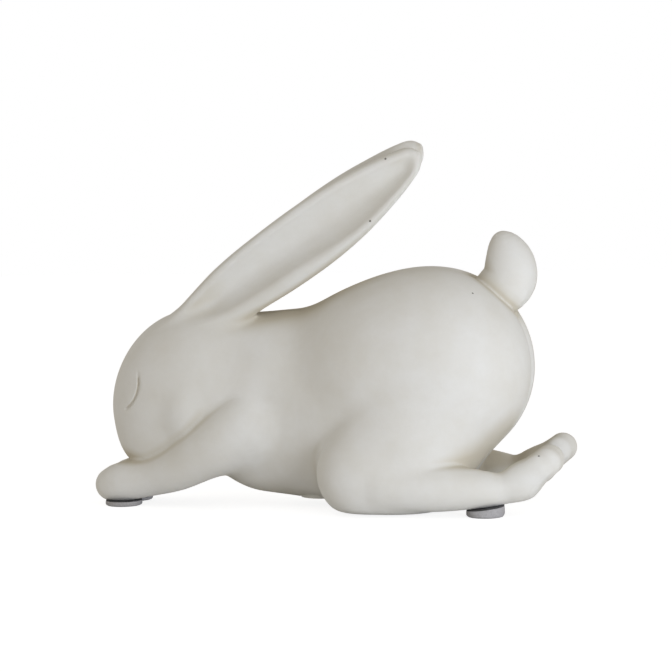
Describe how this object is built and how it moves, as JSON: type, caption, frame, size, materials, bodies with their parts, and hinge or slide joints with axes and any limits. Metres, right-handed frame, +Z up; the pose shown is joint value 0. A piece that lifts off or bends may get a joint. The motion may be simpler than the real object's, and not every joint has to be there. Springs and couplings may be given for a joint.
{
  "type": "rabbit figurine",
  "caption": "Matt cast rabbit resting chin-down on its forelegs, long ears swept back over the rump, upright tail, soles tucked behind, on four felt pads",
  "frame": {"origin": "on the ground under the middle of the figure's box", "axes": "+X towards the tail, -X towards the nose, -Y to the rabbit's left, +Z up"},
  "size_m": [0.2478, 0.1134, 0.1876],
  "materials": {
    "resin": "matt off-white cast stone resin with fine grain and pinholes",
    "felt": "grey self-adhesive felt"
  },
  "bodies": {
    "root": {"body_casting": "resin", "left_ear": "resin", "right_ear": "resin", "tail": "resin", "fill_hole_plug": "resin", "front_left_pad": "felt", "front_right_pad": "felt", "rear_left_pad": "felt", "rear_right_pad": "felt"}
  },
  "joints": []
}
